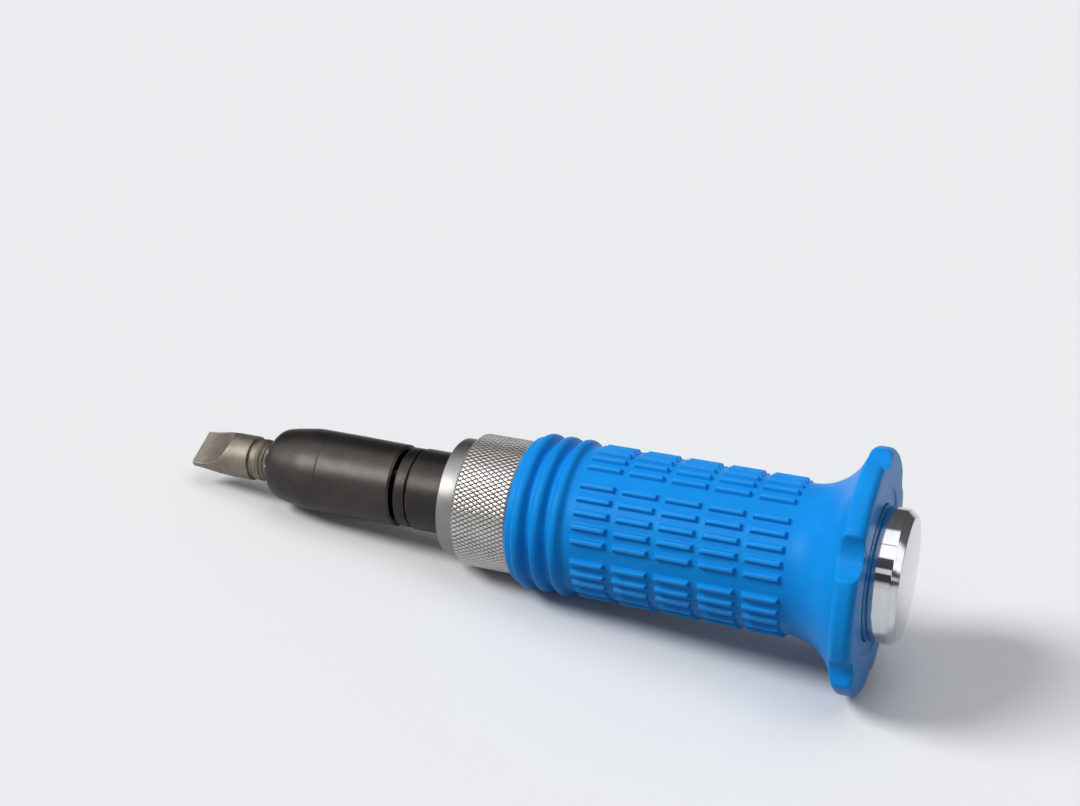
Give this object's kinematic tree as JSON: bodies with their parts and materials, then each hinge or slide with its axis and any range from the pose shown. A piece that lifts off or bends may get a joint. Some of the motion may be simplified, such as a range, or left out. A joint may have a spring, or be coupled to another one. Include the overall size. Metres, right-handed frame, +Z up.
{
  "type": "hand impact driver",
  "caption": "Hand impact driver with a slotted bit in its holder, a knurled collar, a ribbed grip sleeve with a scalloped hand guard, and a chrome striking head.",
  "frame": {"origin": "centre of the bounding box on the plane that the tool lies on", "axes": "+X from the bit's tip towards the striking head, along the plane; +Z up. The tool's own axis rises 6.56 degrees towards the head, because the guard is larger than the grip's ribs that it also lies on"},
  "size_m": [0.1862, 0.0568, 0.0559],
  "materials": {
    "bit_steel": "phosphated tool steel, ground brighter at the blade",
    "black_steel": "satin black phosphate over turned steel",
    "bare_steel": "turned and left bare",
    "ring_steel": "finely turned, satin",
    "knurled_steel": "fine diamond knurl, nickel plated",
    "spring_steel": "oiled spring steel",
    "bronze": "sintered bronze",
    "rubber": "matt",
    "chrome": "mirror plated",
    "blue_plastic": "soft blue moulding with a low sheen"
  },
  "bodies": {
    "barrel": {"body_barrel": "bare_steel", "striking_head": "chrome", "knurled_collar": "knurled_steel", "front_ring": "ring_steel", "dust_seal": "rubber", "bush_circlip": "spring_steel", "front_bush": "bronze", "cam_pin_near": "bare_steel", "cam_pin_far": "bare_steel", "head_o_ring": "rubber", "collar_o_ring": "rubber", "grip_sleeve": "blue_plastic"},
    "selector": {"rear_washer": "bare_steel", "compression_spring": "spring_steel"},
    "thrust": {"spring_cup": "bare_steel", "thrust_washer": "bronze"},
    "spindle": {"spindle": "black_steel", "detent_spring": "spring_steel"},
    "detent": {"detent_ball": "bare_steel"},
    "holder": {"bit_holder": "black_steel", "socket_magnet": "bare_steel"},
    "bit": {"slotted_bit": "bit_steel"}
  },
  "joints": [
    {"name": "direction_select", "type": "hinge", "parent": "barrel", "child": "selector", "pos_m": [0.0647, 0, 0.026], "axis": [0.9934, 0, 0.1143], "range_deg": [-6, 6]},
    {"name": "impact_stroke", "type": "slide", "parent": "selector", "child": "thrust", "axis": [0.9934, 0, 0.1143], "range_m": [0, 0.006], "stiffness_N_per_m": 3000, "springref_m": -0.004, "deforming": ["compression_spring"]},
    {"name": "cam_twist", "type": "hinge", "parent": "thrust", "child": "spindle", "pos_m": [0.01652, 0, 0.02045], "axis": [0.9934, 0, 0.1143], "range_deg": [0, 20]},
    {"name": "detent_press", "type": "slide", "parent": "spindle", "child": "detent", "axis": [0.1143, 0, -0.9934], "range_m": [0, 0.0012], "stiffness_N_per_m": 150, "springref_m": -0.0004, "deforming": ["detent_spring"]},
    {"name": "holder_pull", "type": "slide", "parent": "spindle", "child": "holder", "axis": [-0.9934, 0, -0.1143], "range_m": [0, 0.017]},
    {"name": "bit_pull", "type": "slide", "parent": "holder", "child": "bit", "axis": [-0.9934, 0, -0.1143], "range_m": [0, 0.0175]}
  ],
  "couplings": [
    {"joint": "cam_twist", "follows": "impact_stroke", "rad_per_m": 58.17}
  ]
}
